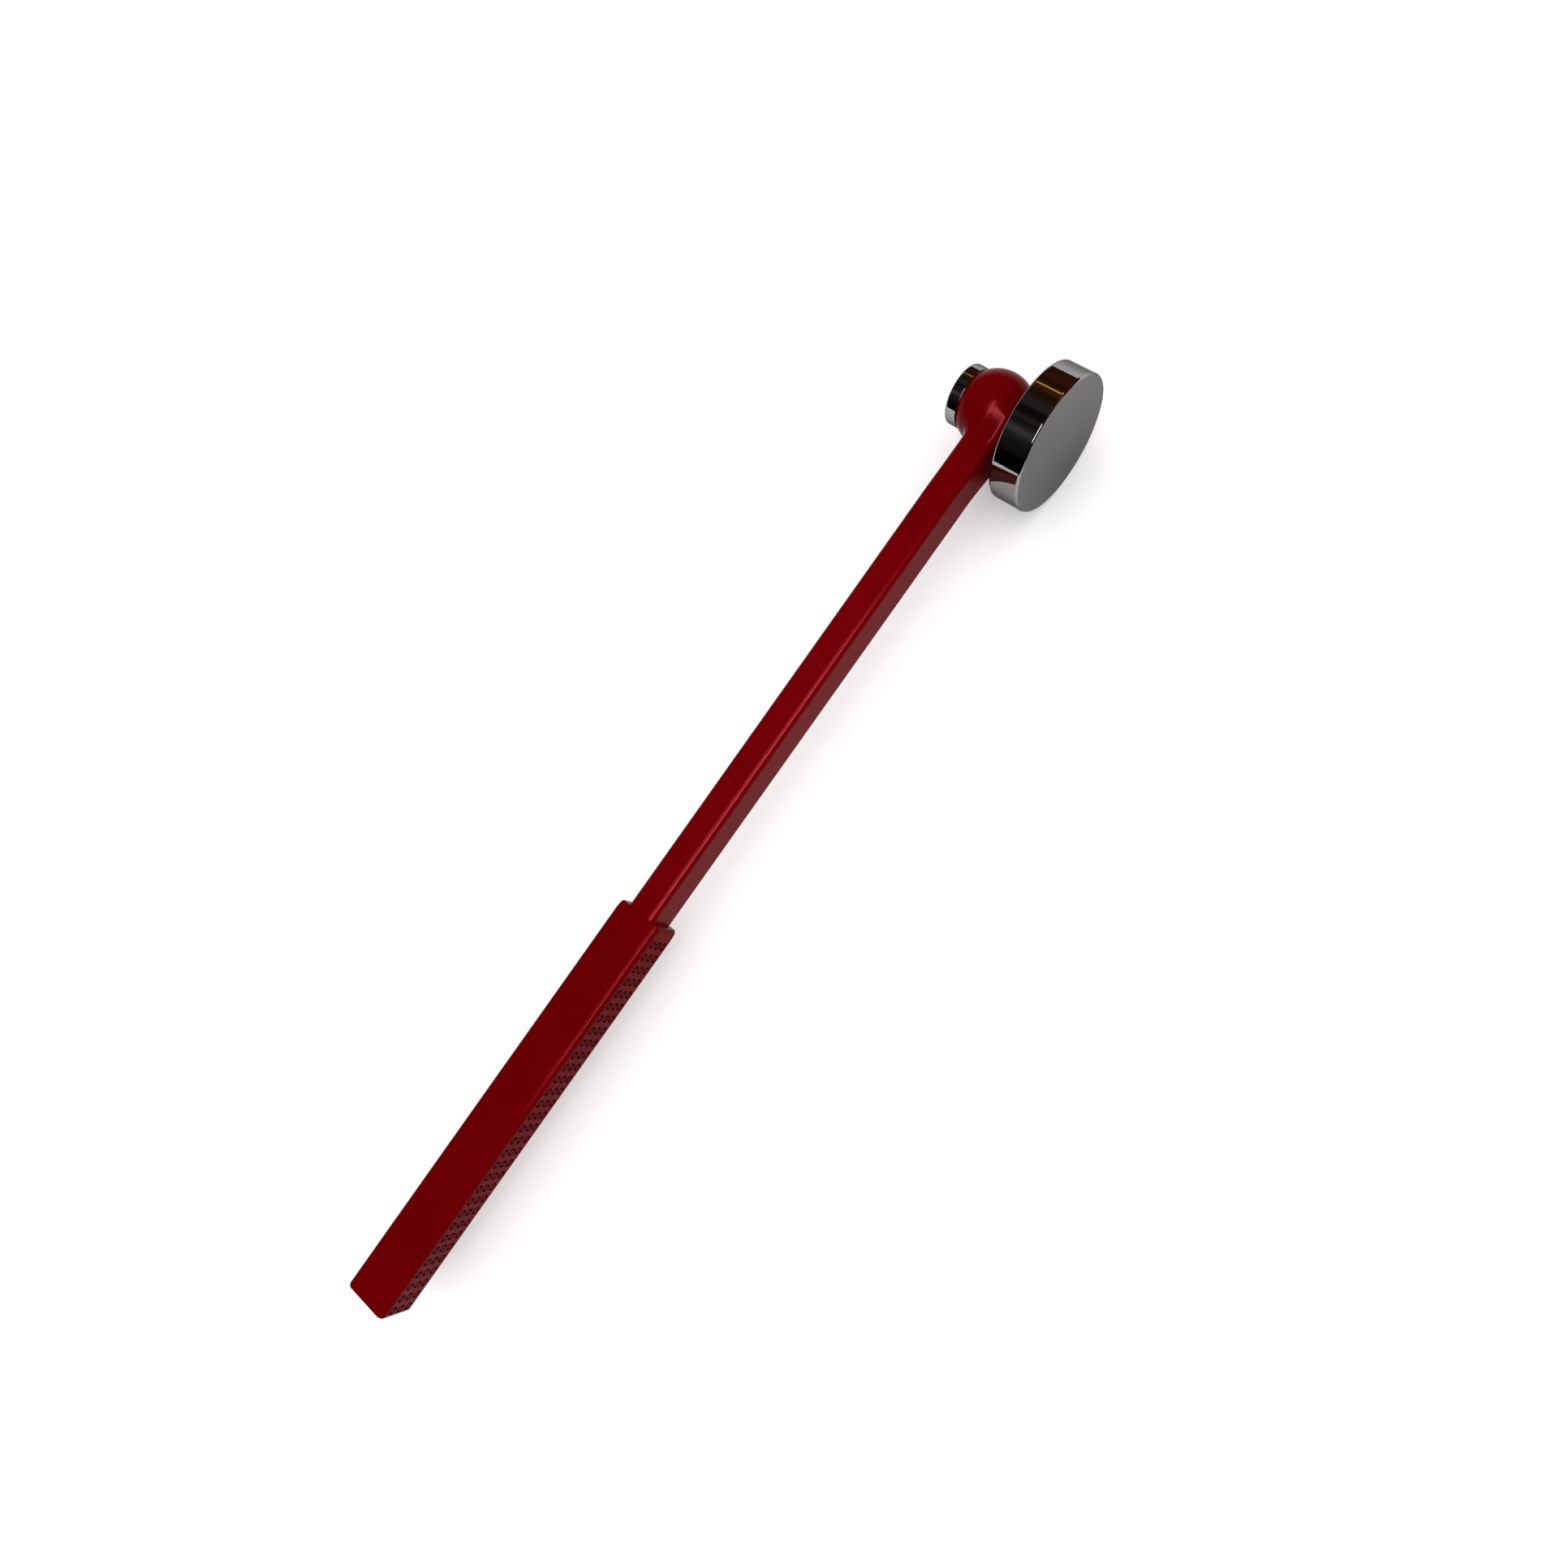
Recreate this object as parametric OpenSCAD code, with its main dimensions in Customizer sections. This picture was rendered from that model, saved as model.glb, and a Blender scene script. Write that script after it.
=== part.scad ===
// Two-faced post driver: a ball hub on a bar handle, with a broad striking face on one side,
// a small one on the other and a moulded grip. It lies level: +X towards the broad face,
// +Y along the handle towards the head, +Z up. The origin is at the bottom centre of its box.

/* [Handle] */
// Overall length, from the grip's closed end to the far edge of the large face
overall_l = 720; // [600:5:900]
// Width of the handle bar, along the striking axis
bar_w = 20; // [18:0.5:26]
// Depth of the handle bar, across the striking axis
bar_d = 30; // [26:0.5:36]
// Radius of the bar's long corners
bar_r = 4.25; // [3:0.25:6]
// Wall of the handle tube
tube_wall = 2.5; // [1.5:0.1:3]

/* [Grip] */
// Length of the grip sleeve
grip_l = 295; // [200:5:360]
// Thickness of the grip over the bar's two side faces, which look along the striking axis
grip_side_wall = 6.25; // [2:0.25:9]
// Thickness of the grip over the bar's front and back faces
grip_front_wall = 1.25; // [1:0.25:5]
// Radius of the grip's long corners
grip_r = 4.25; // [3:0.25:6]
// Rounding of the grip's two ends
grip_end_r = 2.6; // [1:0.1:4]
// Solid floor that closes the grip's end
grip_floor = 8; // [4:0.5:20]

/* [End plug] */
// Thickness of the end plug's flange
plug_flange = 2; // [1:0.5:4]
// Length of the end plug inside the tube
plug_depth = 22; // [10:1:40]

/* [Ball hub] */
// Diameter of the ball
ball_d = 50; // [49:0.5:62]
// How far the ball's centre sits off the handle's centre line, towards the small face
ball_shift = 7; // [4:0.5:8]
// Diameter of the boss that the large face seats on
boss_d = 34; // [31:0.5:40]
// How far that boss stands past the ball's own side
boss_h = 2.5; // [1:0.5:8]
// Diameter of the flat on the ball that the small face seats on
small_flat_d = 38; // [22:0.5:40]

/* [Neck] */
// Distance from the striking axis down to the joint between neck and handle tube
neck_l = 75; // [55:1:110]
// Length of the tang inside the tube
tang_l = 60; // [40:1:90]
// Diameter of the round spigot that enters the ball
spigot_d = 18; // [12:0.5:19]
// Solid metal left between the spigot's bore and the stud bores
spigot_web = 3.5; // [2:0.5:6]
// Diameter of the two pins that hold the tang
pin_d = 6; // [4:0.5:8]
// Length of the two pins, from the tube's back face
pin_l = 24; // [15:0.5:26]

/* [Large face] */
// Diameter of the large face
large_d = 90; // [75:1:120]
// Thickness of the large face
large_t = 21; // [18:0.5:30]
// Rounding of its edges
large_edge = 1.8; // [0.5:0.1:3]
// Diameter of its threaded stud
large_stud_d = 16; // [12:1:18]
// Length of stud fixed in the large face
large_stud_in_face = 14; // [8:0.5:15]
// Length of stud screwed into the ball
large_stud_in_ball = 24; // [16:0.5:25]

/* [Small face] */
// Diameter of the small face
small_d = 40; // [38:0.5:56]
// Thickness of the small face
small_t = 8; // [6.5:0.5:16]
// Rounding of its edges
small_edge = 1.5; // [0.5:0.1:2.5]
// Diameter of its threaded stud
small_stud_d = 10; // [8:1:12]
// Length of stud fixed in the small face
small_stud_in_face = 5; // [3:0.5:5.5]
// Length of stud screwed into the ball
small_stud_in_ball = 12; // [8:0.5:12]

/* [Lock washers] */
// Thickness of the large washer, flattened
large_washer_t = 3.5; // [2:0.1:4]
// Ring width of the large washer
large_washer_w = 5; // [3:0.1:5]
// Thickness of the small washer, flattened
small_washer_t = 2.2; // [1.5:0.1:2.5]
// Ring width of the small washer
small_washer_w = 3.8; // [2.5:0.1:4]
// Width of the split in each washer
washer_split = 2; // [1:0.1:3]

/* [Fits] */
// Radial clearance of a stud in its threaded bore
thread_gap = 0.05; // [0.02:0.01:0.1]
// Gap between pieces that are pressed or bonded together
bond_gap = 0.02; // [0.01:0.01:0.05]
// Gap all round the tang and the end plug inside the tube
tang_gap = 0.15; // [0.05:0.05:0.3]
// Clearance round a lock washer
washer_gap = 0.45; // [0.35:0.05:0.6]
// Free space past the tip of a stud
tip_gap = 2; // [1:0.5:3]

/* [Hidden] */
$fn = 96;

paint_red = "#a00c14";
grip_red = "#8c0a12";
polished = "#c8c8cc";
plain_steel = "#8a8c90";
plug_black = "#222222";

bar_inner_w = bar_w - 2 * tube_wall;
bar_inner_d = bar_d - 2 * tube_wall;
bar_inner_r = max(bar_r - tube_wall, 0.5);
tang_w = bar_inner_w - 2 * tang_gap;
tang_d = bar_inner_d - 2 * tang_gap;
tang_r = max(bar_inner_r - tang_gap, 0.3);

grip_w = bar_w + 2 * grip_side_wall;
grip_d = bar_d + 2 * grip_front_wall;

// The striking axis crosses the handle's centre line at the head's own zero point.
// The backs of the two faces are this far from it, one on each side.
large_seat = ball_d / 2 - ball_shift + boss_h;
small_seat = ball_shift + sqrt(pow(ball_d, 2) - pow(small_flat_d, 2)) / 2;
handle_l = overall_l - large_d / 2;
grip_top = grip_l - handle_l;
plug_top = grip_floor + plug_flange - handle_l;
tang_end = -neck_l - tang_l;
pin_ys = [-neck_l - tang_l / 4, -neck_l - tang_l * 3 / 4];
spigot_end = -large_stud_d / 2 - thread_gap - spigot_web;
box_mid_x = (large_seat + large_t - small_seat - small_t) / 2;
large_bore_l = large_stud_in_ball + tip_gap;
small_bore_l = small_stud_in_ball + tip_gap;

// Carries the head's own coordinates to the frame at the bottom centre of the box.
module placed() {
    translate([-box_mid_x, overall_l / 2 - large_d / 2, large_d / 2]) children();
}

// Rectangle centred on zero with four round corners.
module round_rect(w, h, r) {
    square([w - 2 * r, h], center = true);
    square([w, h - 2 * r], center = true);
    for (x = [-1, 1], y = [-1, 1])
        translate([x * (w / 2 - r), y * (h / 2 - r)]) circle(r = r);
}

// Extrudes a flat outline from one place on the Y axis to another.
module along_y(from, to) {
    translate([0, from, 0]) rotate([-90, 0, 0]) linear_extrude(to - from) children();
}

// Round bar on the striking axis.
module rod_x(from, to, r) {
    translate([from, 0, 0]) rotate([0, 90, 0]) cylinder(h = to - from, r = r);
}

// Profile of half a disc, from its axis to its rim, with two round corners.
module disc_profile(r, t, edge) {
    square([r - edge, t]);
    translate([0, edge]) square([r, t - 2 * edge]);
    for (y = [edge, t - edge]) translate([r - edge, y]) circle(r = edge);
}

// Solid disc on the striking axis that starts at a given place.
module face_disc(from, r, t, edge) {
    translate([from, 0, 0]) rotate([0, 90, 0]) rotate_extrude() intersection() {
        disc_profile(r, t, edge);
        square([r, t]);
    }
}

// Split ring on the striking axis.
module split_ring(from, to, r_in, r_out) {
    difference() {
        rod_x(from, to, r_out);
        rod_x(from - 1, to + 1, r_in);
        translate([from - 1, 0, -washer_split / 2])
            cube([to - from + 2, r_out + 1, washer_split]);
    }
}

// Half outline of the ball, its boss and its two stepped bores: distance from the striking
// axis across, place along that axis upwards.
module hub_outline() {
    difference() {
        union() {
            translate([0, -ball_shift]) circle(d = ball_d);
            translate([0, -ball_shift]) square([boss_d / 2, large_seat + ball_shift]);
        }
        translate([-ball_d, -ball_d]) square([ball_d, 2 * ball_d]);
        translate([0, -small_seat - ball_d]) square([ball_d, ball_d]);
        translate([0, large_seat - large_bore_l])
            square([large_stud_d / 2 + thread_gap, large_bore_l + 1]);
        translate([0, large_seat - large_washer_t])
            square([large_stud_d / 2 + large_washer_w + 2 * washer_gap, large_washer_t + 1]);
        translate([0, -small_seat - 1])
            square([small_stud_d / 2 + thread_gap, small_bore_l + 1]);
        translate([0, -small_seat - 1])
            square([small_stud_d / 2 + small_washer_w + 2 * washer_gap, small_washer_t + 1]);
    }
}

module hub_ball() {
    color(paint_red) placed() difference() {
        rotate([0, 90, 0]) rotate_extrude() hub_outline();
        translate([0, spigot_end, 0]) rotate([90, 0, 0])
            cylinder(h = ball_d, r = spigot_d / 2 + bond_gap);
    }
}

// Two round bars that enter from the handle's back face, or start short of it by an overrun.
module pins(r, overrun) {
    for (y = pin_ys) translate([0, y, -bar_d / 2 - overrun])
        cylinder(h = pin_l + overrun, r = r);
}

// Bar section from the tube up to the ball and its boss, with a spigot above and a tang below.
module neck() {
    color(paint_red) placed() {
        difference() {
            along_y(-neck_l, 0) round_rect(bar_w, bar_d, bar_r);
            translate([-ball_shift, 0, 0]) sphere(r = ball_d / 2 + bond_gap);
            rod_x(-ball_shift, large_seat, boss_d / 2 + bond_gap);
        }
        translate([0, spigot_end - bond_gap, 0]) rotate([90, 0, 0])
            cylinder(h = neck_l / 2 + spigot_end, d = spigot_d);
        difference() {
            along_y(tang_end, -neck_l) round_rect(tang_w, tang_d, tang_r);
            pins(pin_d / 2 + bond_gap, 1);
        }
    }
}

module handle_tube() {
    color(paint_red) placed() difference() {
        along_y(plug_top, -neck_l) round_rect(bar_w, bar_d, bar_r);
        along_y(plug_top - 1, 1 - neck_l) round_rect(bar_inner_w, bar_inner_d, bar_inner_r);
        pins(pin_d / 2 + bond_gap, 1);
    }
}

module tang_pins() {
    color(paint_red) placed() pins(pin_d / 2, 0);
}

module tube_end_plug() {
    color(plug_black) placed() {
        along_y(plug_top - plug_flange, plug_top) round_rect(bar_w, bar_d, bar_r);
        along_y(plug_top, plug_top + plug_depth) round_rect(tang_w, tang_d, tang_r);
    }
}

// Outer form of the grip: three rounded outlines crossed, so that its ends are rounded too.
module grip_form() {
    intersection() {
        along_y(-handle_l, grip_top) round_rect(grip_w, grip_d, grip_r);
        translate([0, grip_top - grip_l / 2, -grip_d]) linear_extrude(2 * grip_d)
            round_rect(grip_w, grip_l, grip_end_r);
        translate([-grip_w, grip_top - grip_l / 2, 0]) rotate([0, 90, 0])
            linear_extrude(2 * grip_w) round_rect(grip_d, grip_l, grip_end_r);
    }
}

module grip_sleeve() {
    color(grip_red) placed() difference() {
        grip_form();
        along_y(grip_floor - handle_l, grip_top + 1)
            round_rect(bar_w + 2 * bond_gap, bar_d + 2 * bond_gap, bar_r);
    }
}

module large_face() {
    color(polished) placed() difference() {
        face_disc(large_seat, large_d / 2, large_t, large_edge);
        rod_x(large_seat - 1, large_seat + large_stud_in_face, large_stud_d / 2 + bond_gap);
    }
}

module large_face_stud() {
    color(plain_steel) placed()
        rod_x(large_seat - large_stud_in_ball, large_seat + large_stud_in_face,
              large_stud_d / 2);
}

module large_lock_washer() {
    r_in = large_stud_d / 2 + washer_gap;
    color(plain_steel) placed()
        split_ring(large_seat - large_washer_t, large_seat, r_in, r_in + large_washer_w);
}

module small_face() {
    color(polished) placed() difference() {
        face_disc(-small_seat - small_t, small_d / 2, small_t, small_edge);
        rod_x(-small_seat - small_stud_in_face, 1 - small_seat, small_stud_d / 2 + bond_gap);
    }
}

module small_face_stud() {
    color(plain_steel) placed()
        rod_x(-small_seat - small_stud_in_face, small_stud_in_ball - small_seat,
              small_stud_d / 2);
}

module small_lock_washer() {
    r_in = small_stud_d / 2 + washer_gap;
    color(plain_steel) placed()
        split_ring(-small_seat, small_washer_t - small_seat, r_in, r_in + small_washer_w);
}

hub_ball();
neck();
handle_tube();
tang_pins();
tube_end_plug();
grip_sleeve();
large_face();
large_face_stud();
large_lock_washer();
small_face();
small_face_stud();
small_lock_washer();
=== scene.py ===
import math

import bmesh
import bpy
import numpy as np
from mathutils import Matrix, Vector


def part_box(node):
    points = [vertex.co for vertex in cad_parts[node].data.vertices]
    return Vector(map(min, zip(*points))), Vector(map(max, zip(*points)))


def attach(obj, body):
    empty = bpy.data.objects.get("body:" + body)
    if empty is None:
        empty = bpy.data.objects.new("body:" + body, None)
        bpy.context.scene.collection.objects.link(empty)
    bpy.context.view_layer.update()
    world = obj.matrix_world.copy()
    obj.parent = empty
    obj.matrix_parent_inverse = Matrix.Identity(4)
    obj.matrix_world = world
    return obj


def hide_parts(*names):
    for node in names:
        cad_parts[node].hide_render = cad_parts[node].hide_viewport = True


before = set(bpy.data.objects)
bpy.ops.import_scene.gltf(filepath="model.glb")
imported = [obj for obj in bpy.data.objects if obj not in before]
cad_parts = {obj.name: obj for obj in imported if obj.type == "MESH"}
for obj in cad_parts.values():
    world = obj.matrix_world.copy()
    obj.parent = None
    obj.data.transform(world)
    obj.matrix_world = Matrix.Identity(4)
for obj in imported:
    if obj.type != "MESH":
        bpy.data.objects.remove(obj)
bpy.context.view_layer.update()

MM = 0.001

# ---------------------------------------------------------------- sizes taken from the frame

tube_lo, tube_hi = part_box("handle_tube")
hub_lo, hub_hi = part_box("hub_ball")
neck_lo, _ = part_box("neck")
grip_lo, grip_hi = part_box("grip_sleeve")
large_lo, large_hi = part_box("large_face")
small_lo, small_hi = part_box("small_face")
large_stud_lo, large_stud_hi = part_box("large_face_stud")
small_stud_lo, small_stud_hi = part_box("small_face_stud")
large_ring_lo, large_ring_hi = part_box("large_lock_washer")
small_ring_lo, small_ring_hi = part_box("small_lock_washer")

# The head's zero point: the handle's centre line where the striking axis crosses it. All the
# shapes below are worked out from there, with x towards the large face, y up the handle and
# z towards the side that lies uppermost.
HEAD = np.array([(tube_lo.x + tube_hi.x) / 2, (large_lo.y + large_hi.y) / 2,
                 (large_lo.z + large_hi.z) / 2])
BAR_HALF_W = (tube_hi.x - tube_lo.x) / 2
BAR_HALF_D = (tube_hi.z - tube_lo.z) / 2
BAR_CORNER = 4.25 * MM
TUBE_WALL = 2.5 * MM
TUBE_TOP = tube_hi.y - HEAD[1]
TUBE_END = tube_lo.y - HEAD[1]
TANG_GAP = 0.15 * MM
TANG_END = neck_lo.y - HEAD[1]
BALL_R = (hub_hi.z - hub_lo.z) / 2
SMALL_FLAT_R = 19 * MM
BOSS_R = 17 * MM
BOSS_EDGE = 0.4 * MM
THREAD_FIT = 0.05 * MM
WASHER_FIT = 0.45 * MM
BORE_PAST_STUD = 2 * MM
CUT_CLEARANCE = 20 * MM
LARGE_PITCH = 2 * MM
SMALL_PITCH = 1.5 * MM
LARGE_CHAMFER = 1.2 * MM
SMALL_CHAMFER = 0.8 * MM
LARGE_WASHER_WIDTH = 5 * MM
SMALL_WASHER_WIDTH = 3.8 * MM
WASHER_SPLIT = 2 * MM
WASHER_ROUND = 0.4 * MM
LARGE_ROUND = 1.8 * MM
SMALL_ROUND = 1.5 * MM
SMALL_BACK_ROUND = 0.5 * MM
SMALL_SEAT = hub_lo.x - HEAD[0]
LARGE_SEAT = hub_hi.x - HEAD[0]
BALL_X = SMALL_SEAT + math.sqrt(BALL_R ** 2 - SMALL_FLAT_R ** 2)
LARGE_STUD_R = (large_stud_hi.z - large_stud_lo.z) / 2
SMALL_STUD_R = (small_stud_hi.z - small_stud_lo.z) / 2
GRIP_TOP = grip_hi.y - HEAD[1]
GRIP_BOTTOM = grip_lo.y - HEAD[1]
GRIP_HALF_W = (grip_hi.x - grip_lo.x) / 2
GRIP_HALF_D = (grip_hi.z - grip_lo.z) / 2
GRIP_CORNER = 4.25 * MM
GRIP_END = 2.6 * MM
GRIP_FLOOR = 8 * MM
GRIP_FIT = 0.02 * MM
GRIP_LIP = 0.1 * MM
GRIP_RUN_IN = 6.8 * MM

# ---------------------------------------------------------------- mesh helpers


def make_piece(name, verts, faces, sharp_deg=35.0):
    """Puts points given from the head's zero point, and groups of faces, into a mesh object.

    If the surface encloses a negative volume, every face is turned round. Edges sharper than
    sharp_deg stay sharp and the rest shade smooth.
    """
    verts = np.asarray(verts, float).reshape(-1, 3)
    volume = 0.0
    for group in faces:
        p = verts[group]
        for k in range(1, group.shape[1] - 1):
            volume += np.einsum("ij,ij->i", p[:, 0], np.cross(p[:, k], p[:, k + 1])).sum()
    if volume < 0:
        faces = [group[:, ::-1] for group in faces]
    sizes = np.concatenate([np.full(len(group), group.shape[1]) for group in faces])
    corners = np.concatenate([group.ravel() for group in faces])
    mesh = bpy.data.meshes.new(name)
    mesh.vertices.add(len(verts))
    mesh.vertices.foreach_set("co", (verts + HEAD).astype(np.float32).ravel())
    mesh.loops.add(len(corners))
    mesh.loops.foreach_set("vertex_index", corners.astype(np.int32))
    mesh.polygons.add(len(sizes))
    mesh.polygons.foreach_set("loop_start", (np.cumsum(sizes) - sizes).astype(np.int32))
    mesh.update(calc_edges=True)
    mesh.validate()
    smooth_but_sharp(mesh, sharp_deg)
    piece = bpy.data.objects.new(name, mesh)
    bpy.context.scene.collection.objects.link(piece)
    return piece


def smooth_but_sharp(mesh, sharp_deg):
    """Smooth shading everywhere but across edges sharper than this."""
    mesh.polygons.foreach_set("use_smooth", np.ones(len(mesh.polygons), bool))
    mesh.set_sharp_from_angle(angle=math.radians(sharp_deg))


def ring_faces(rows, cols, closed=False):
    """Quads of a grid whose columns wrap round; closed joins the last row to the first too."""
    j, i = np.meshgrid(np.arange(rows if closed else rows - 1), np.arange(cols), indexing="ij")
    nj, ni = (j + 1) % rows, (i + 1) % cols
    return np.stack([j * cols + i, j * cols + ni, nj * cols + ni, nj * cols + i], -1).reshape(-1, 4)


def capped_rings(rings, first, last):
    """Rows of equal rings joined in order, drawn together to a point at either end."""
    rows, cols = rings.shape[:2]
    count = rows * cols
    ring = np.arange(cols)
    after = np.roll(ring, -1)
    start = np.stack([after, ring, np.full(cols, count)], -1)
    end = np.stack([ring, after, np.full(cols, count + 1)], -1)
    end[:, :2] += count - cols
    verts = np.vstack([rings.reshape(-1, 3), first, last])
    return verts, [ring_faces(rows, cols), start, end]


def lathe(outline, steps):
    """Turns an outline of (place along the striking axis, distance from it) about that axis.

    An outline point becomes the circle (x, r cos a, r sin a), and the first and last points,
    which lie on the axis, close the surface.
    """
    outline = np.asarray(outline, float)
    a = np.linspace(0, 2 * math.pi, steps, endpoint=False)
    x, r = outline[1:-1, :1], outline[1:-1, 1:]
    rings = np.stack([x + 0 * a, r * np.cos(a), r * np.sin(a)], -1)
    return capped_rings(rings, [outline[0, 0], 0, 0], [outline[-1, 0], 0, 0])


def rounded_outline(half_w, half_d, corner, lead, side_steps=0, bend_steps=13):
    """Rectangle with round corners, as (x, z) points in order from one end of a side.

    Each corner is a quarter circle about a point one corner radius inside both sides. Both
    pairs of flats have a point one lead from either end, so that they shade flat, and the
    sides that face the striking faces are divided evenly between those into side_steps.
    """
    flat_d = np.linspace(-1, 1, max(side_steps, 1) + 1) * (half_d - corner - lead)
    flat_w = np.array([1, -1]) * (half_w - corner - lead)
    a = np.radians(np.linspace(0, 90, bend_steps))
    bend = corner * np.stack([np.cos(a), np.sin(a)], -1) + [half_w - corner, half_d - corner]
    side = np.stack([np.full(len(flat_d), half_w), flat_d], -1)
    front = np.stack([flat_w, np.full(2, half_d)], -1)
    half = np.concatenate([side, bend, front, bend[::-1] * [-1, 1]])
    return np.concatenate([half, -half])


def across(outline, y):
    """An (x, z) outline laid across the handle at each of these places along it."""
    y = np.atleast_1d(y)[:, None]
    x, z = outline[:, 0], outline[:, 1]
    return np.stack([x + 0 * y, y + 0 * x, z + 0 * y], -1)


def carve(piece, tool, operation, sharp_deg=35.0):
    """Joins a piece with another closed shape, or cuts that shape out of it."""
    step = piece.modifiers.new("carve", "BOOLEAN")
    step.object = tool
    step.operation = operation
    step.solver = "EXACT"
    depsgraph = bpy.context.evaluated_depsgraph_get()
    carved = bpy.data.meshes.new_from_object(piece.evaluated_get(depsgraph))
    piece.modifiers.clear()
    piece.data = carved
    bpy.data.objects.remove(tool)
    smooth_but_sharp(carved, sharp_deg)


def weld(piece, distance, sharp_deg):
    """Merges a piece's points that lie within a distance of each other."""
    work = bmesh.new()
    work.from_mesh(piece.data)
    bmesh.ops.remove_doubles(work, verts=work.verts, dist=distance)
    bmesh.ops.recalc_face_normals(work, faces=work.faces)
    work.to_mesh(piece.data)
    work.free()
    smooth_but_sharp(piece.data, sharp_deg)


# ---------------------------------------------------------------- shader helpers


class Wire:
    """One output socket of a shader, with arithmetic that adds the Math nodes it needs."""

    def __init__(self, tree, socket):
        self.tree = tree
        self.socket = socket

    def node(self, kind, settings=None, inputs=None, output=0):
        """Adds a node of any kind: its settings first, then values or wires for its sockets."""
        made = self.tree.nodes.new(kind)
        for key, value in (settings or {}).items():
            if key == "stops":
                elements = made.color_ramp.elements
                while len(elements) < len(value):
                    elements.new(1.0)
                for element, (place, colour) in zip(elements, value):
                    element.position = place
                    element.color = (*colour, 1.0)
            else:
                setattr(made, key, value)
        for key, value in (inputs or {}).items():
            if isinstance(value, Wire):
                self.tree.links.new(value.socket, made.inputs[key])
            elif made.inputs[key].type == "RGBA":
                made.inputs[key].default_value = (*value, 1.0)
            else:
                made.inputs[key].default_value = value
        return Wire(self.tree, made.outputs[output])

    def math(self, operation, *values):
        """A Math node on these values or wires."""
        return self.node("ShaderNodeMath", {"operation": operation}, dict(enumerate(values)))

    def __add__(self, other):
        return self.math("ADD", self, other)

    def __mul__(self, other):
        return self.math("MULTIPLY", self, other)

    def __truediv__(self, other):
        return self.math("DIVIDE", self, other)

    def __rtruediv__(self, other):
        return self.math("DIVIDE", other, self)

    __radd__ = __add__
    __rmul__ = __mul__

    def step(self, low, high):
        """0 below low, 1 above high, and a smooth rise between."""
        return self.node("ShaderNodeMapRange", {"interpolation_type": "SMOOTHSTEP"},
                         {"Value": self, "From Min": low, "From Max": high})

    def noise(self, scale, detail=2.0, rough=0.5, stretch=(1, 1, 1)):
        """Noise on these coordinates, stretched first."""
        place = self.node("ShaderNodeVectorMath", {"operation": "MULTIPLY"},
                          {0: self, 1: stretch})
        return self.node("ShaderNodeTexNoise", None,
                         {"Vector": place, "Scale": scale, "Detail": detail, "Roughness": rough})

    def mix(self, first, second):
        """The first colour where this is 0 and the second where it is 1."""
        return self.node("ShaderNodeMix", {"data_type": "RGBA"}, {0: self, 6: first, 7: second},
                         output=2)

    def bump(self, strength, distance):
        """A Bump node with this as its height."""
        return self.node("ShaderNodeBump", None,
                         {"Height": self, "Strength": strength, "Distance": distance})


def new_material(name, **fixed):
    """A material with one Principled shader, whose constants are set on its own sockets.

    Gives the material, its Object coordinates and a function that wires its sockets up.
    """
    material = bpy.data.materials.new(name)
    material.use_nodes = True
    tree = material.node_tree
    shader = next(n for n in tree.nodes if n.type == "BSDF_PRINCIPLED")
    for key, value in fixed.items():
        shader.inputs[key.replace("_", " ")].default_value = value
    where = Wire(tree, tree.nodes.new("ShaderNodeTexCoord").outputs["Object"])

    def feed(**wires):
        for key, wire in wires.items():
            tree.links.new(wire.socket, shader.inputs[key.replace("_", " ")])

    return material, where, feed


# ---------------------------------------------------------------- materials

RED_TINT = (1.0, 0.14, 0.17, 1.0)


def red_paint():
    """Stoved gloss red: slight orange peel, faint cloudiness and a few dust nibs."""
    material, where, feed = new_material("red_paint", IOR=1.085, Specular_Tint=RED_TINT)
    cloud = where.noise(9.0, 3.0, 0.55)
    peel = where.noise(420.0, 2.0, 0.5)
    nibs = where.noise(900.0, 1.0, 0.4).step(0.74, 0.80)
    base = cloud.step(0.3, 0.7).mix((0.097, 0.0002, 0.0009), (0.111, 0.0003, 0.0014))
    feed(Base_Color=nibs.mix(base, (0.20, 0.008, 0.010)),
         Roughness=where.noise(35.0, 3.0).step(0.2, 0.8) * 0.04 + 0.18,
         Normal=(peel * 0.6 + nibs * 0.5).bump(0.12, 0.00006))
    return material


def grip_vinyl():
    """Moulded red vinyl: duller and finely grained, with painted shade that darkens it down in the
    ring grooves.
    """
    material, where, feed = new_material("grip_vinyl", IOR=1.055, Specular_Tint=RED_TINT)
    cloud = where.noise(7.0, 3.0, 0.55)
    grain = where.noise(1500.0, 2.0, 0.6)
    groove = where.node("ShaderNodeAttribute", {"attribute_name": "groove"}, output=2)
    wear = where.noise(60.0, 4.0, 0.65).step(0.55, 0.8)
    base = cloud.step(0.3, 0.7).mix((0.085, 0.0002, 0.0006), (0.098, 0.0003, 0.0010))
    worn = (wear * 0.25).mix(base, (0.08, 0.0012, 0.0022))
    # Painted shade: from just below their lips, the ring grooves are coloured near black to stand in
    # for the shade that falls in them. They are also rougher there.
    groove_shade_mask = groove.step(0.0, 0.14)
    feed(Base_Color=groove_shade_mask.mix(worn, (0.008, 0.0001, 0.0004)),
         Roughness=groove_shade_mask * 0.8 + wear * 0.04 + 0.12,
         Normal=grain.bump(0.10, 0.00005))
    return material


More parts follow.
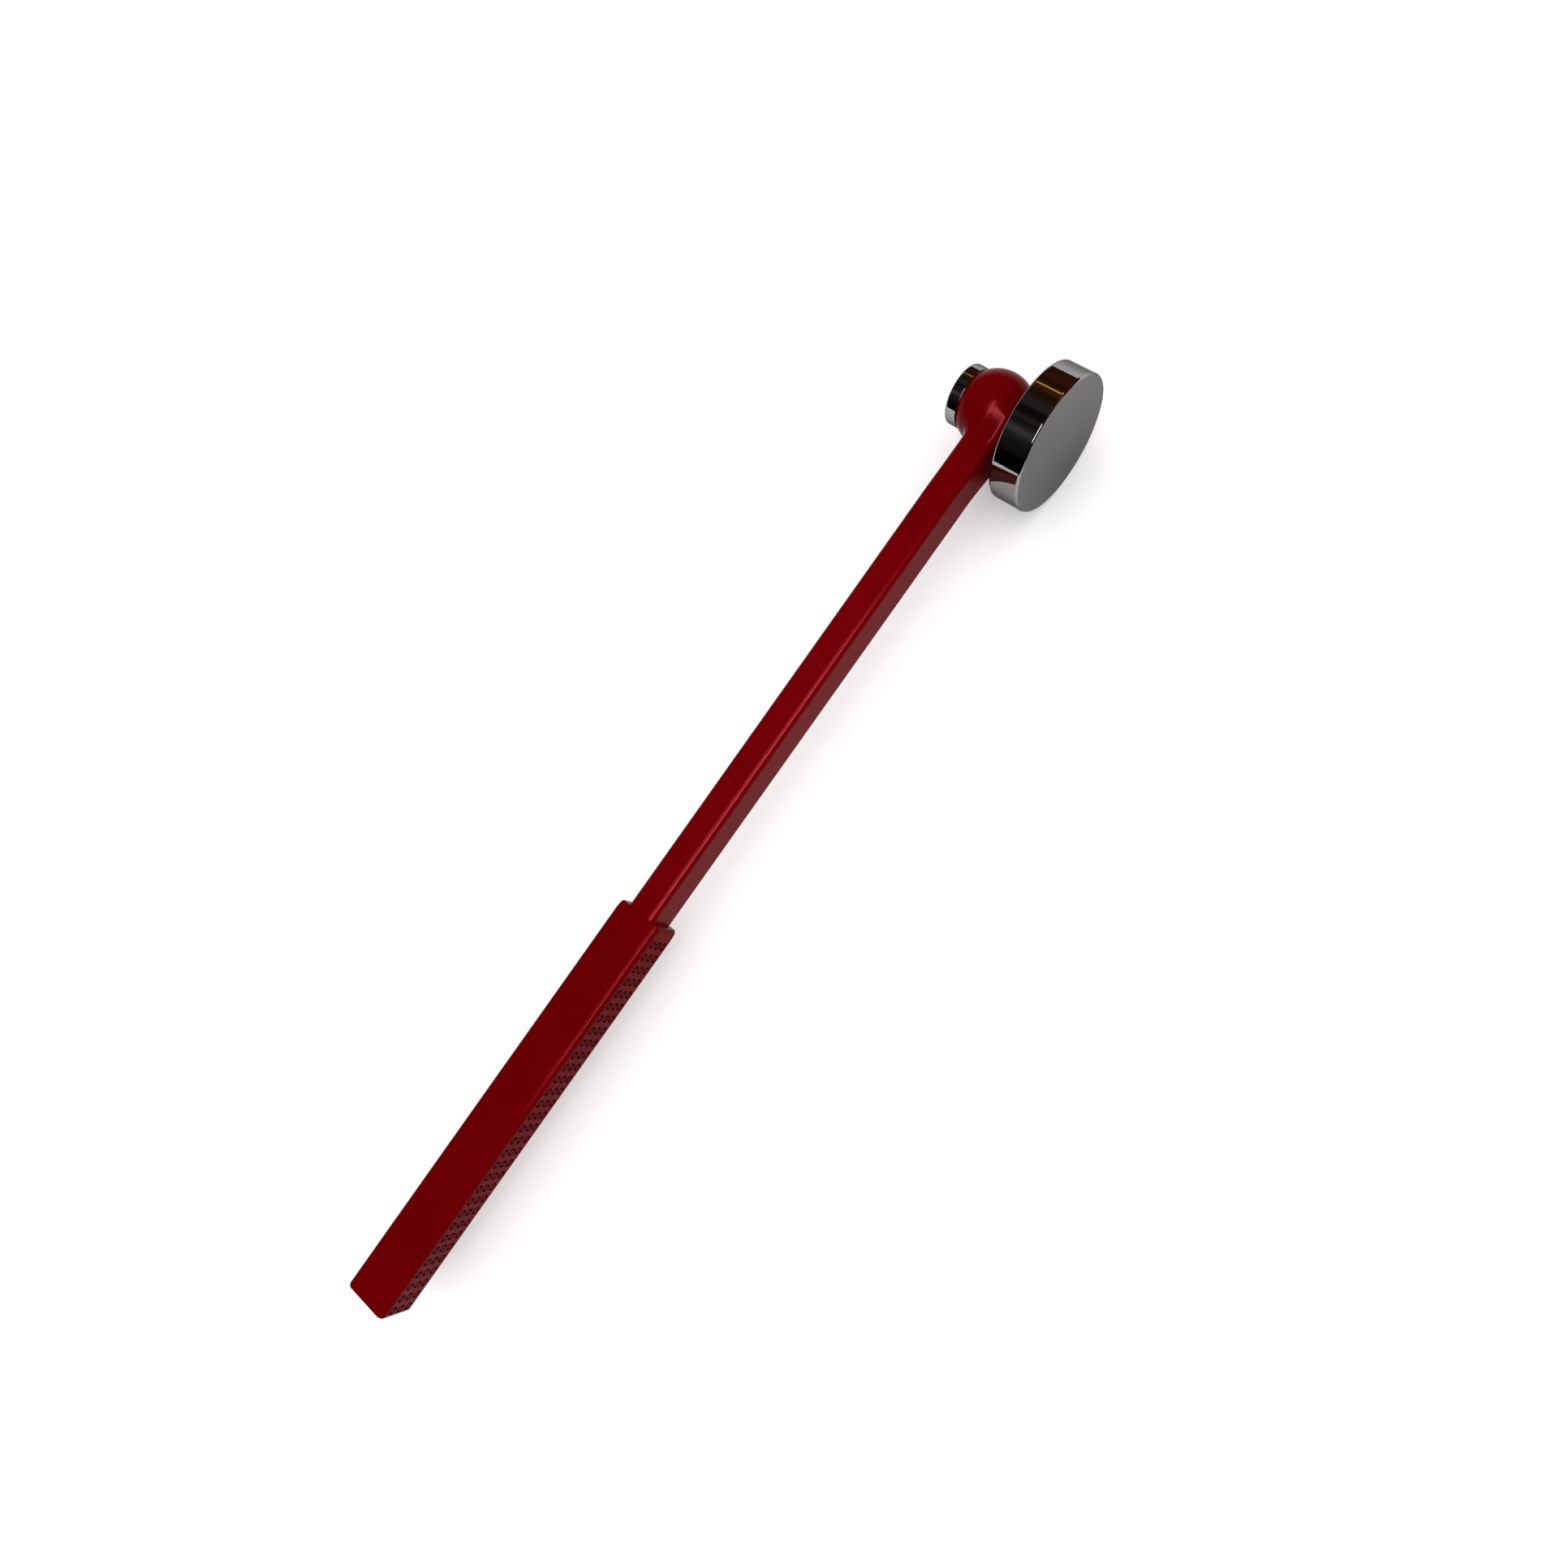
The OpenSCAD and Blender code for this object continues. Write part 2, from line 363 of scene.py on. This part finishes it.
def mirror_steel():
    """Buffed plated steel: nearly a mirror, with faint buffing lines and finger haze."""
    material, where, feed = new_material("mirror_steel", Metallic=1.0,
                                         Specular_Tint=(0.3, 0.3, 0.3, 1.0))
    haze = where.noise(22.0, 4.0, 0.6).step(0.45, 0.75)
    lines = where.noise(60.0, 2.0, 0.6, stretch=(40.0, 1.5, 1.5))
    feed(Base_Color=haze.mix((0.285, 0.280, 0.283), (0.262, 0.257, 0.260)),
         Roughness=haze * 0.03 + lines * 0.02 + 0.03,
         Normal=lines.bump(0.02, 0.00002))
    return material


def plain_steel():
    """Machined steel with dull zinc plating and turning marks round the axis."""
    material, where, feed = new_material("plain_steel", Metallic=1.0)
    marks = where.noise(90.0, 3.0, 0.6, stretch=(30.0, 2.0, 2.0))
    stain = where.noise(120.0, 4.0, 0.6).step(0.45, 0.7)
    feed(Base_Color=stain.mix((0.46, 0.46, 0.45), (0.33, 0.32, 0.30)),
         Roughness=marks * 0.15 + stain * 0.12 + 0.22,
         Normal=marks.bump(0.15, 0.00004))
    return material


def black_nylon():
    """Moulded black nylon with a fine matt grain."""
    material, where, feed = new_material("black_nylon", IOR=1.5)
    grain = where.noise(1200.0, 2.0, 0.6)
    feed(Base_Color=where.noise(40.0).mix((0.012, 0.012, 0.013), (0.022, 0.022, 0.023)),
         Roughness=grain * 0.2 + 0.45,
         Normal=grain.bump(0.2, 0.00005))
    return material


def floor_paper():
    """Plain pale studio paper with a barely visible tooth."""
    material, where, feed = new_material("floor_paper", Specular_IOR_Level=0.0)
    tooth = where.noise(300.0, 3.0, 0.6)
    feed(Base_Color=where.noise(3.0).mix((0.85, 0.85, 0.85), (0.87, 0.87, 0.87)),
         Roughness=tooth * 0.1 + 0.8,
         Normal=tooth.bump(0.05, 0.0001))
    return material


def dress(piece, material):
    """Gives a piece one material in place of any it had."""
    piece.data.materials.clear()
    piece.data.materials.append(material)


# ---------------------------------------------------------------- head

FLARE_START = -66 * MM
RIGHT_FLARE_R = 300 * MM
FRONT_FLARE_R = 900 * MM
BAR_TOP = -8 * MM
SLIDE_START = -60 * MM
SLIDE_LENGTH = 34 * MM
HEAD_REACH = 60 * MM
HEAD_COLUMNS = 300


def rounded_field(x, z, half_w, half_d, corner):
    """Distance outside a rectangle with round corners, negative inside: from the corner's
    centre past both sides, or else from the nearer side, less the corner radius."""
    past_x = np.abs(x) - half_w + corner
    past_z = np.abs(z) - half_d + corner
    return (np.hypot(np.maximum(past_x, 0), np.maximum(past_z, 0))
            + np.minimum(np.maximum(past_x, past_z), 0) - corner)


def head_field(x, y, z):
    """Distance outside the bar and ball together, negative inside.

    The bar swells as the square of the height above where its flare starts, most on the side
    of the large face, and it ends a little below the striking axis. Bar and ball join by a
    smooth minimum: the nearer of the two, less a quarter of the joining width times the
    square of the share of that width by which they differ less.
    """
    rise = np.clip(y - FLARE_START, 0, None)
    right = np.where(x > 0, rise ** 2 / (2 * RIGHT_FLARE_R), 0)
    front = rise ** 2 / (2 * FRONT_FLARE_R)
    side = rounded_field(x, z, BAR_HALF_W + right, BAR_HALF_D + front, BAR_CORNER + rise * 0.05)
    over = y - BAR_TOP
    bar = (np.hypot(np.maximum(side, 0), np.maximum(over, 0))
           + np.minimum(np.maximum(side, over), 0))
    ball = np.sqrt((x - BALL_X) ** 2 + y ** 2 + z ** 2) - BALL_R
    width = (6 + 5 * np.clip(x / BAR_HALF_W, 0, 1)) * MM
    share = np.maximum(width - np.abs(bar - ball), 0) / width
    return np.minimum(bar, ball) - share ** 2 * width / 4


def polar_rings(field, y, middle):
    """Rings across the handle where a field is zero, one at each height.

    Each point lies level with its ring's middle, at an even angle round it, and as far out as
    halving the stretch between inside and outside brings it.
    """
    a = np.linspace(0, 2 * math.pi, HEAD_COLUMNS, endpoint=False)
    y = np.atleast_1d(y)[:, None] + 0 * a
    middle = np.atleast_1d(middle)[:, None]
    near, far = np.zeros(y.shape), np.full(y.shape, HEAD_REACH)
    for _ in range(40):
        out = (near + far) / 2
        inside = field(middle + out * np.cos(a), y, out * np.sin(a)) < 0
        near, far = np.where(inside, out, near), np.where(inside, far, out)
    return np.stack([middle + near * np.cos(a), y, near * np.sin(a)], -1)


def painted_head():
    """Ball, neck and tang as one painted casting, with its boss, flat and stepped bores.

    The outside is one stack of rings, from the tang's tip up the bar and over the ball to its
    top. Their middles slide from the handle's centre line to the ball's. The boss is joined
    on, and the flat and the two bores are turned shapes that are cut out.
    """
    def tang(inset):
        return lambda x, y, z: rounded_field(
            x, z, BAR_HALF_W - TUBE_WALL - TANG_GAP - inset,
            BAR_HALF_D - TUBE_WALL - TANG_GAP - inset, BAR_CORNER - TUBE_WALL - TANG_GAP)

    swing = np.radians(np.arange(1.5, 180, 1.5))
    heights = np.concatenate([[TUBE_TOP, TUBE_TOP + 0.2 * MM],
                              np.linspace(FLARE_START, -BALL_R, 60), -BALL_R * np.cos(swing)])
    slide = np.clip((heights - SLIDE_START) / SLIDE_LENGTH, 0, 1)
    middles = BALL_X * slide ** 2 * (3 - 2 * slide)
    rings = np.concatenate([polar_rings(tang(MM), TANG_END, 0),
                            polar_rings(tang(0), [TANG_END + MM, TUBE_TOP], [0, 0]),
                            polar_rings(head_field, heights, middles)])
    head = make_piece("painted_head", *capped_rings(rings, [0, TANG_END, 0],
                                                    [BALL_X, BALL_R, 0]))
    boss = [(0, 0), (0, BOSS_R), (LARGE_SEAT - BOSS_EDGE, BOSS_R),
            (LARGE_SEAT, BOSS_R - BOSS_EDGE), (LARGE_SEAT, 0)]
    carve(head, make_piece("boss", *lathe(boss, 160)), "UNION")
    bores = [
        (SMALL_SEAT, 1, 2 * BALL_R, small_ring_lo, small_ring_hi, SMALL_STUD_R,
         small_stud_hi.x - HEAD[0]),
        (LARGE_SEAT, -1, 0, large_ring_lo, large_ring_hi, LARGE_STUD_R,
         large_stud_lo.x - HEAD[0]),
    ]
    for seat, way, facing_r, ring_lo, ring_hi, stud_r, stud_tip in bores:
        recess_r = (ring_hi.z - ring_lo.z) / 2 + WASHER_FIT
        step = seat + way * (ring_hi.x - ring_lo.x)
        outside = seat - way * CUT_CLEARANCE
        floor_x = stud_tip + way * BORE_PAST_STUD
        facing = [(outside, facing_r), (seat, facing_r), (seat, recess_r)]
        cutter = [(outside, 0), *(facing if facing_r else [(outside, recess_r)]),
                  (step, recess_r), (step, stud_r + THREAD_FIT),
                  (floor_x, stud_r + THREAD_FIT), (floor_x, 0)]
        carve(head, make_piece("bore", *lathe(cutter, 160)), "DIFFERENCE")
    return head


FACE_EDGE_TURN = 50.0


def striking_disc(name, back, front, radius, back_round, front_round, hole_r, hole_depth,
                  steps):
    """A striking disc turned about its axis: blind hole, back, round edge, rim, round edge
    and face. The back edge is a quarter circle between the rim and the back. The front edge
    is an arc that leaves the rim smoothly and meets the ground face at FACE_EDGE_TURN."""
    way = 1 if front > back else -1
    lead = 0.08 * MM
    a = np.radians(np.linspace(0, 90, 9))
    back_edge = np.stack([back + way * back_round * (1 - np.cos(a)),
                          radius - back_round * (1 - np.sin(a))], -1)
    turn = np.radians(np.linspace(0, FACE_EDGE_TURN, 9))
    bow = front_round / math.sin(turn[-1])
    front_edge = np.stack([front - way * (front_round - bow * np.sin(turn)),
                           radius - bow * (1 - np.cos(turn))], -1)
    outline = np.vstack([
        [(back + way * hole_depth, 0), (back + way * hole_depth, hole_r), (back, hole_r),
         (back, radius - back_round - lead)], back_edge,
        [(back + way * (back_round + lead), radius),
         (front - way * (front_round + lead), radius)], front_edge,
        [(front, front_edge[-1, 1] - lead), (front, radius / 2), (front, 0)]])
    return make_piece(name, *lathe(outline, steps))


def threaded_stud(name, start, end, radius, pitch, chamfer):
    """A stud with a real helical thread.

    Its radius is the crest's, less the thread depth times a flat-topped triangle wave of
    (place / pitch - angle / full turn), and it is no more than the chamfer allows at a tip.
    """
    x = np.linspace(start, end, int((end - start) / pitch * 10))[:, None]
    a = np.linspace(0, 2 * math.pi, 48, endpoint=False)
    turn = (x / pitch - a / (2 * math.pi)) % 1.0
    wave = np.clip(np.abs(turn - 0.5) * 2.6 - 0.25, 0, 1)
    tip = np.minimum(np.minimum(x - start, end - x), chamfer)
    r = np.minimum(radius - 0.61 * pitch * wave, radius - chamfer + tip)
    rings = np.stack([x + 0 * a, r * np.cos(a), r * np.sin(a)], -1)
    return make_piece(name, *capped_rings(rings, [start, 0, 0], [end, 0, 0]), sharp_deg=80)


def split_washer(name, lo, hi, width):
    """A split spring washer: a section with round corners carried round the axis, stopping
    short of a full turn by WASHER_SPLIT, with flat ends."""
    start, end = lo.x - HEAD[0], hi.x - HEAD[0]
    middle_r = (hi.z - lo.z) / 2 - width / 2
    half = math.asin(WASHER_SPLIT / 2 / middle_r)
    a = np.linspace(half, 2 * math.pi - half, 96)[:, None]
    body = rounded_outline(width / 2, (end - start) / 2, WASHER_ROUND, 0.05 * MM, bend_steps=4)
    r = middle_r + body[:, 0]
    rings = np.stack([(start + end) / 2 + body[:, 1] + 0 * a, r * np.cos(a), r * np.sin(a)], -1)
    return make_piece(name, *capped_rings(rings, rings[0].mean(0), rings[-1].mean(0)))


# ---------------------------------------------------------------- handle


def handle_bar():
    """The handle tube: its outer outline, carried up the handle, and its inner outline,
    carried back down, closed at both ends."""
    lead = 0.25 * MM
    outer = rounded_outline(BAR_HALF_W, BAR_HALF_D, BAR_CORNER, lead)
    inner = rounded_outline(BAR_HALF_W - TUBE_WALL, BAR_HALF_D - TUBE_WALL,
                            BAR_CORNER - TUBE_WALL, lead)
    rings = np.concatenate([across(outer, [TUBE_END, TUBE_TOP]),
                            across(inner, [TUBE_TOP, TUBE_END])])
    return make_piece("handle_bar", rings, [ring_faces(4, len(outer), closed=True)])


RING_COLUMNS = 3
RING_ROWS = 31
RING_PITCH = 9.24 * MM
RING_FIRST = 11.7 * MM
RING_R = 2.25 * MM
RING_HALF_LINE = 0.74 * MM
RING_DEPTH = 0.5 * MM
RING_MARGIN = 0.2 * MM
CELL_STEPS = 4


def grip():
    """The moulded grip with round ends and three columns of ring grooves on both sides.

    A rounded rectangle is carried along the handle. At each end its half sizes shrink by the
    end radius times (1 - sine) as it goes on by that radius times (1 - cosine). At the top
    the front and back run down to the bar instead, by a share squared times (3 - twice the
    share). On both sides the stretches that hold the rings are left out of the sleeve and
    filled with cells whose borders share its points. In a cell a circle sinks to a groove
    and rises again, and the attribute "groove" is 1 at the bottom of that groove.
    """
    lead = 0.25 * MM
    side_steps = RING_COLUMNS * CELL_STEPS

    def outline(half_w, half_d, corner):
        return rounded_outline(half_w, half_d, corner, lead, side_steps, 9)

    full = outline(GRIP_HALF_W, GRIP_HALF_D, GRIP_CORNER)
    cols = len(full)
    bend = np.radians(np.linspace(0, 90, 9))
    shrink, onward = GRIP_END * (1 - np.sin(bend)), GRIP_END * (1 - np.cos(bend))
    step_in = GRIP_HALF_D - BAR_HALF_D - GRIP_LIP
    top_shrink = np.append(shrink, np.zeros(6))
    top_onward = np.append(onward, np.linspace(GRIP_END, GRIP_RUN_IN, 7)[1:])
    share = 1 - top_onward / GRIP_RUN_IN
    front_shrink = step_in * share ** 2 * (3 - 2 * share)
    top = [across(outline(GRIP_HALF_W - s, GRIP_HALF_D - f, GRIP_CORNER - s), GRIP_TOP - o)
           for s, f, o in zip(top_shrink, front_shrink, top_onward)]
    foot = [across(outline(GRIP_HALF_W - s, GRIP_HALF_D - s, GRIP_CORNER - s),
                   GRIP_BOTTOM + o) for s, o in zip(shrink[::-1], onward[::-1])]
    along = RING_R + RING_HALF_LINE + RING_MARGIN
    over = (GRIP_HALF_D - GRIP_CORNER - lead) / RING_COLUMNS
    ring_y = GRIP_TOP - RING_FIRST - np.arange(RING_ROWS) * RING_PITCH
    cell_rows = (ring_y[:, None] + np.linspace(along, -along, CELL_STEPS + 1)).ravel()
    wall = across(full, np.append(cell_rows, GRIP_BOTTOM + GRIP_END + lead / 4))
    cavity = across(outline(BAR_HALF_W + GRIP_FIT, BAR_HALF_D + GRIP_FIT, BAR_CORNER),
                    [GRIP_BOTTOM + GRIP_FLOOR, GRIP_TOP])
    rings = np.concatenate([cavity, *top, wall, *foot])
    verts, faces = capped_rings(rings, [0, GRIP_BOTTOM + GRIP_FLOOR, 0], [0, GRIP_BOTTOM, 0])

    row, col = np.divmod(np.arange(len(faces[0])), cols)
    wall_row = row - len(cavity) - len(top)
    in_rows = ((wall_row >= 0) & (wall_row < len(cell_rows))
               & (wall_row % (CELL_STEPS + 1) < CELL_STEPS))
    in_cols = col % (cols // 2) < side_steps
    faces[0] = faces[0][~(in_rows & in_cols)]

    edge = np.linspace(-1, 1, CELL_STEPS + 1)[:-1]
    one = np.ones(CELL_STEPS)
    border = np.concatenate([np.stack(pair, -1) for pair in (
        (edge, -one), (one, edge), (-edge, one), (-one, -edge))])
    a = np.arctan2(border[:, 1], border[:, 0])
    radii = np.array([RING_R + RING_HALF_LINE, RING_R, RING_R - RING_HALF_LINE])[:, None]
    loops_y = np.vstack([border[:, 0] * along, radii * np.cos(a)])
    loops_z = np.vstack([border[:, 1] * over, radii * np.sin(a)])
    depth = np.array([0, 0, 1, 0])[:, None] + 0 * a
    facing, place_y, place_z = [g[..., None, None] for g in np.meshgrid(
        [1, -1], ring_y,
        (np.arange(RING_COLUMNS) - (RING_COLUMNS - 1) / 2) * 2 * over, indexing="ij")]
    cells = np.stack([facing * (GRIP_HALF_W - depth * RING_DEPTH) + 0 * place_y + 0 * place_z,
                      place_y + facing * loops_y + 0 * place_z,
                      place_z + loops_z + 0 * facing + 0 * place_y], -1).reshape(-1, 3)
    size = depth.size
    starts = len(verts) + np.arange(len(cells) // size)[:, None, None] * size
    faces.append((ring_faces(4, len(a)) + starts).reshape(-1, 4))
    faces.append((np.arange(size - len(a), size)[None] + starts).reshape(-1, len(a)))
    piece = make_piece("grip", np.vstack([verts, cells]), faces, 30)
    depths = np.concatenate([np.zeros(len(verts)), np.tile(depth.ravel(), len(starts))])
    groove = piece.data.attributes.new("groove", "FLOAT", "POINT")
    groove.data.foreach_set("value", depths.astype(np.float32))
    weld(piece, 0.01 * MM, 30)
    return piece


# ---------------------------------------------------------------- the tool put together

paint = red_paint()
vinyl = grip_vinyl()
mirror = mirror_steel()
steel = plain_steel()

pieces = [
    (painted_head(), "tool", ["hub_ball", "neck"], "red_paint", paint),
    (handle_bar(), "tool", ["handle_tube"], "red_paint", paint),
    (grip(), "tool", ["grip_sleeve"], "red_grip", vinyl),
    (striking_disc("large_disc", large_lo.x - HEAD[0], large_hi.x - HEAD[0],
                   (large_hi.z - large_lo.z) / 2, LARGE_ROUND, LARGE_ROUND, LARGE_STUD_R,
                   large_stud_hi.x - large_lo.x, 240),
     "large_head", ["large_face"], "polished_steel", mirror),
    (striking_disc("small_disc", small_hi.x - HEAD[0], small_lo.x - HEAD[0],
                   (small_hi.z - small_lo.z) / 2, SMALL_BACK_ROUND, SMALL_ROUND, SMALL_STUD_R,
                   small_hi.x - small_stud_lo.x, 160),
     "small_head", ["small_face"], "polished_steel", mirror),
    (threaded_stud("large_stud", large_stud_lo.x - HEAD[0], large_stud_hi.x - HEAD[0],
                   LARGE_STUD_R, LARGE_PITCH, LARGE_CHAMFER),
     "large_head", ["large_face_stud"], "plain_steel", steel),
    (threaded_stud("small_stud", small_stud_lo.x - HEAD[0], small_stud_hi.x - HEAD[0],
                   SMALL_STUD_R, SMALL_PITCH, SMALL_CHAMFER),
     "small_head", ["small_face_stud"], "plain_steel", steel),
    (split_washer("large_washer_ring", large_ring_lo, large_ring_hi, LARGE_WASHER_WIDTH),
     "large_washer", ["large_lock_washer"], "plain_steel", steel),
    (split_washer("small_washer_ring", small_ring_lo, small_ring_hi, SMALL_WASHER_WIDTH),
     "small_washer", ["small_lock_washer"], "plain_steel", steel),
]
for piece, body, stands_for, slot_name, material in pieces:
    dress(piece, material)
    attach(piece, body)
    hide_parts(*stands_for)

dress(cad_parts["tang_pins"], paint)
dress(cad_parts["tube_end_plug"], black_nylon())

# ---------------------------------------------------------------- floor, light and camera


def floor():
    """A plain square of paper under the tool."""
    half = 6.0
    mesh = bpy.data.meshes.new("floor")
    mesh.from_pydata([(-half, -half, 0), (half, -half, 0), (half, half, 0), (-half, half, 0)],
                     [], [(0, 1, 2, 3)])
    sheet = bpy.data.objects.new("floor", mesh)
    sheet.location.z = -0.5 * MM
    bpy.context.scene.collection.objects.link(sheet)
    dress(sheet, floor_paper())


def room():
    """The room over the table. Seen directly it is plain and pale. What shines in the steel is
    dark, with a few dim grey bands overhead, and brown with one gold line beyond the head,
    and changes only with the lean from straight up to the head."""
    world = bpy.data.worlds.new("room")
    world.use_nodes = True
    bpy.context.scene.world = world
    tree = world.node_tree
    back = next(n for n in tree.nodes if n.type == "BACKGROUND")
    where = Wire(tree, tree.nodes.new("ShaderNodeTexCoord").outputs["Generated"])
    along = where.node("ShaderNodeSeparateXYZ", None, {0: where}, output=1)
    up = where.node("ShaderNodeSeparateXYZ", None, {0: where}, output=2)
    lean = along.math("ARCTAN2", along, up) / math.pi + 0.5
    black, shade, dusk, grey = (0.003,) * 3, (0.015,) * 3, (0.045, 0.038, 0.045), (0.05, 0.045, 0.04)
    earth, brown, gold = (0.04, 0.020, 0.011), (0.09, 0.024, 0.009), (1.5, 0.80, 0.18)
    bands = lean.node("ShaderNodeValToRGB", {"stops": [
        (0.00, black), (0.12, black), (0.16, shade), (0.24, (0.021, 0.019, 0.018)), (0.29, dusk),
        (0.335, (0.12, 0.112, 0.125)), (0.38, dusk), (0.415, (0.02, 0.015, 0.015)),
        (0.445, grey), (0.48, (0.017, 0.012, 0.008)), (0.53, (0.014, 0.009, 0.006)),
        (0.56, grey), (0.61, grey), (0.65, earth), (0.70, earth), (0.73, (0.12, 0.034, 0.015)),
        (0.758, brown), (0.764, gold), (0.771, gold), (0.777, brown), (0.82, (0.05, 0.012, 0.004)),
        (0.87, (0.09, 0.022, 0.008)), (1.00, (0.06, 0.020, 0.008))]}, {"Fac": lean})
    seen = where.node("ShaderNodeLightPath")
    tree.links.new(seen.mix(bands, (0.9, 0.9, 0.9)).socket, back.inputs["Color"])


WASH_DISTANCE = 3.0
SOFTBOX_DISTANCE = 1.3
SOFTBOX_PLACE = -0.465
SOFTBOX_LENGTH = 0.93


def hang(name, lamp, tilt_deg, distance, along_y):
    """Hangs a lamp over the tool, aimed at the handle: tilt is its lean from straight up
    towards the large face, and along_y its place up the handle from the head."""
    holder = bpy.data.objects.new(name, lamp)
    bpy.context.scene.collection.objects.link(holder)
    tilt = math.radians(tilt_deg)
    out = Vector((math.sin(tilt), 0, math.cos(tilt)))
    side = Vector((math.cos(tilt), 0, -math.sin(tilt)))
    holder.matrix_world = Matrix((side, Vector((0, 1, 0)), out)).transposed().to_4x4()
    holder.location = Vector(HEAD) + out * distance + Vector((0, along_y, 0))
    holder.visible_camera = False
    return holder


def wash(name, tilt_deg, strength, softness_deg):
    """Even light from far away that shows in no reflection."""
    lamp = bpy.data.lights.new(name, "SUN")
    lamp.energy = strength
    lamp.angle = math.radians(softness_deg)
    hang(name, lamp, tilt_deg, WASH_DISTANCE, 0.0).visible_glossy = False


def softbox(name, tilt_deg, width, length, power, shows_in):
    """A long lamp along the handle that shows only as a highlight, and only in these pieces."""
    lamp = bpy.data.lights.new(name, "AREA")
    lamp.shape = "RECTANGLE"
    lamp.size = width
    lamp.size_y = length
    lamp.energy = power
    holder = hang(name, lamp, tilt_deg, SOFTBOX_DISTANCE, SOFTBOX_PLACE)
    holder.visible_diffuse = False
    group = bpy.data.collections.new(name + "_shows_in")
    for piece in shows_in:
        group.objects.link(piece)
    holder.light_linking.receiver_collection = group


def camera():
    """A camera above the lying tool, turned round the handle towards the large face."""
    turn, lean, roll = math.radians(21.27), math.radians(0.91), math.radians(35.36)
    distance, aside, below = 753.6 * MM, 20.785 * MM, 264.82 * MM
    level = Vector((math.cos(turn), 0, -math.sin(turn)))
    along = Vector((-math.sin(turn) * math.sin(lean), math.cos(lean),
                    -math.cos(turn) * math.sin(lean)))
    back = Vector((math.sin(turn) * math.cos(lean), math.sin(lean),
                   math.cos(turn) * math.cos(lean)))
    right = level * math.cos(roll) + along * math.sin(roll)
    up = along * math.cos(roll) - level * math.sin(roll)
    lens = bpy.data.cameras.new("camera")
    lens.sensor_width = 36.0
    lens.lens = 27.83
    lens.clip_start = 0.01
    eye = bpy.data.objects.new("camera", lens)
    bpy.context.scene.collection.objects.link(eye)
    eye.matrix_world = Matrix((right, up, back)).transposed().to_4x4()
    eye.location = Vector(HEAD) + level * aside + back * distance - Vector((0, below, 0))
    bpy.context.scene.camera = eye


floor()
room()
painted = [piece for piece, *_, material in pieces if material in (paint, vinyl)]
large_disc = [piece for piece, *_ in pieces if piece.name == "large_disc"]
wash("left_wash", -20.0, 0.6, 110.0)
wash("right_wash", 25.0, 1.3, 110.0)
wash("top_wash", 0.0, 2.8, 150.0)
softbox("right_softbox", 40.0, 0.32, SOFTBOX_LENGTH, 300.0, painted)
softbox("middle_softbox", 8.0, 0.16, SOFTBOX_LENGTH, 100.0, painted)
softbox("edge_softbox", 30.0, 0.30, 0.70, 3.6, large_disc)
camera()
bpy.context.scene.view_settings.view_transform = "Standard"
